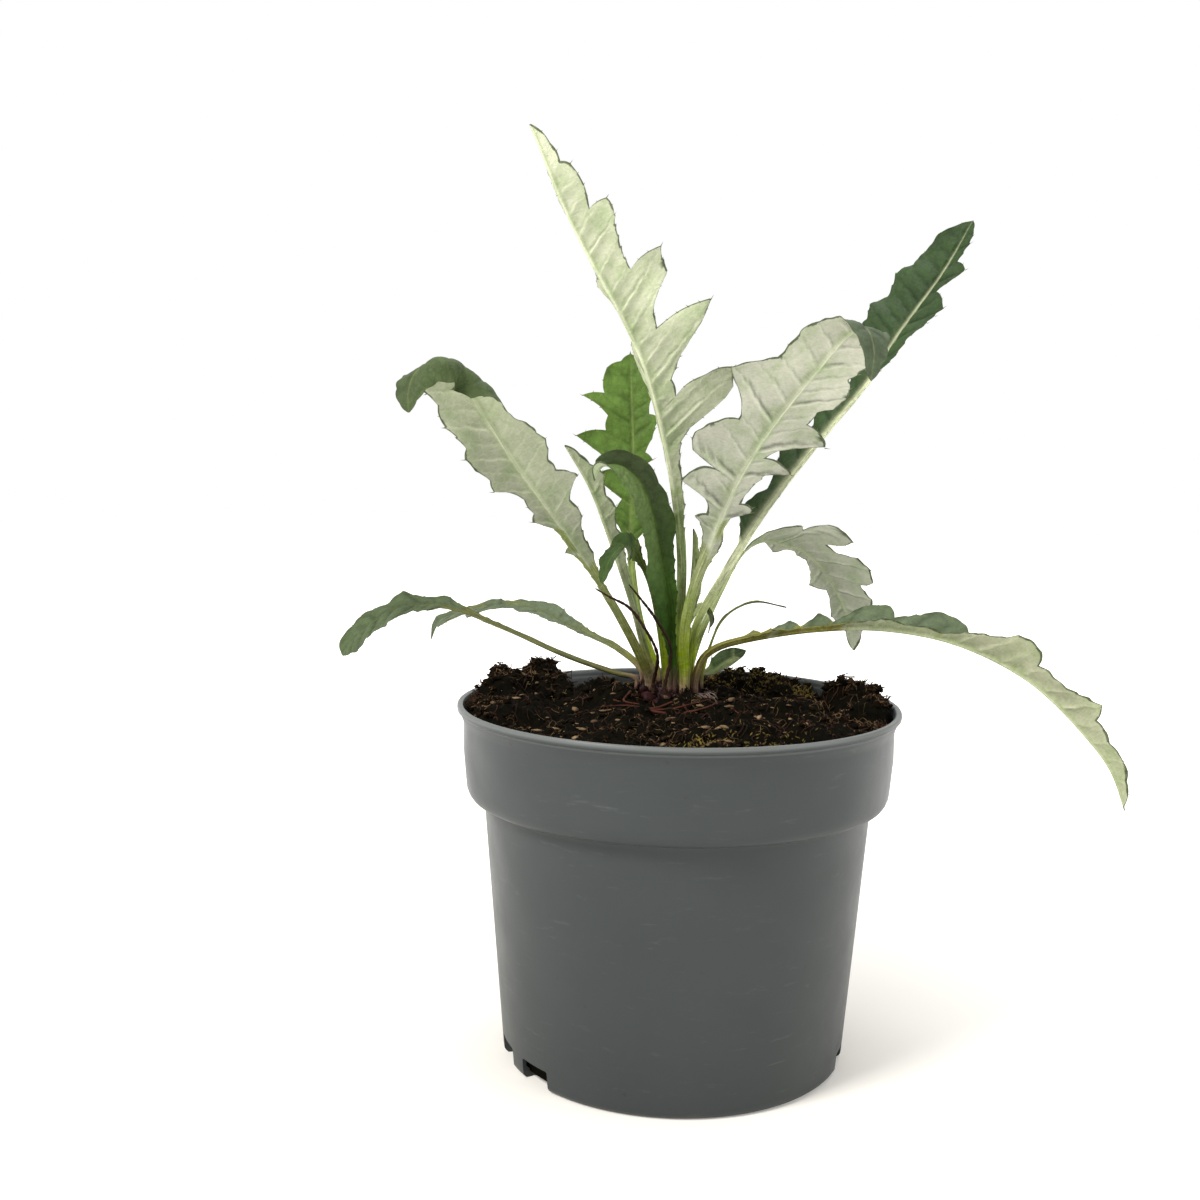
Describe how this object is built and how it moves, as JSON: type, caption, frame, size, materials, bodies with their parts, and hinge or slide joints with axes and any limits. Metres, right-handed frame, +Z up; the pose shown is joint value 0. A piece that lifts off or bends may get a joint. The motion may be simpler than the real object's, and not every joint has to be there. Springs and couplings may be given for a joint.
{
  "type": "potted globe thistle",
  "caption": "Young globe thistle in a round nursery pot: a rosette of long, lobed, spiny-edged leaves, green above and felted white below, on a crown in dark potting soil.",
  "frame": {"origin": "middle of the pot's underside, on the pot's axis", "axes": "+Z up along the pot's axis; -Y towards the plant's front; +X to the right when seen from the front"},
  "size_m": [0.2957, 0.1671, 0.3377],
  "materials": {
    "pot": "matte grey plastic, slightly sheened",
    "soil": "loose dark peat with fibres",
    "crown": "rough, dark red-brown leaf bases",
    "leaf": "soft green upper side, white felted underside",
    "dried_stalk": "dry, black-brown"
  },
  "bodies": {
    "root": {"pot": "pot", "soil": "soil", "crown": "crown", "leaf_01_tall": "leaf", "leaf_02_white": "leaf", "leaf_03_dark": "leaf", "leaf_04_left": "leaf", "leaf_05_low_left": "leaf", "leaf_06_back_left": "leaf", "leaf_07_upright": "leaf", "leaf_08_front": "leaf", "leaf_09_folded": "leaf", "leaf_10_curled": "leaf", "leaf_11_bud": "leaf", "leaf_12_back_right": "leaf", "leaf_13_long_right": "leaf", "leaf_14_thin": "leaf", "leaf_15_low_right": "leaf", "leaf_16_nodding": "leaf", "dried_stalk_1": "dried_stalk", "dried_stalk_2": "dried_stalk"}
  },
  "joints": []
}
